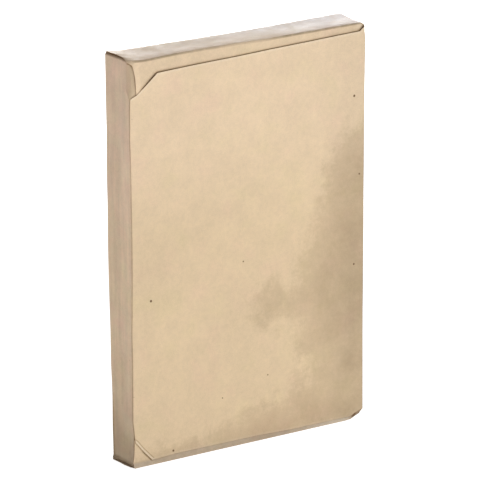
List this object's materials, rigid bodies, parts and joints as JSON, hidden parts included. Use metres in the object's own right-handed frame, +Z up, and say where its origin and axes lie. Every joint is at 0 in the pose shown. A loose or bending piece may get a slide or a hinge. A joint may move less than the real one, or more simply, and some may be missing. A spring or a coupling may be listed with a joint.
{
  "type": "paper-wrapped black tea brick",
  "caption": "Small flat brick of pressed black tea, shut in a folded brown paper wrapper with cut corners on its front sheet, standing on its lower end.",
  "frame": {"origin": "under the middle of the pack's box, on the surface it stands on", "axes": "+Z up along the pack's height; the front sheet faces -Y; +X to the right as seen from the front"},
  "size_m": [0.0996, 0.0154, 0.148],
  "materials": {
    "wrapping_paper": "smooth unbleached brown wrapping paper, faintly mottled, with soft stains and a slight sheen"
  },
  "bodies": {
    "root": {"wrapped_brick": "wrapping_paper"}
  },
  "joints": []
}
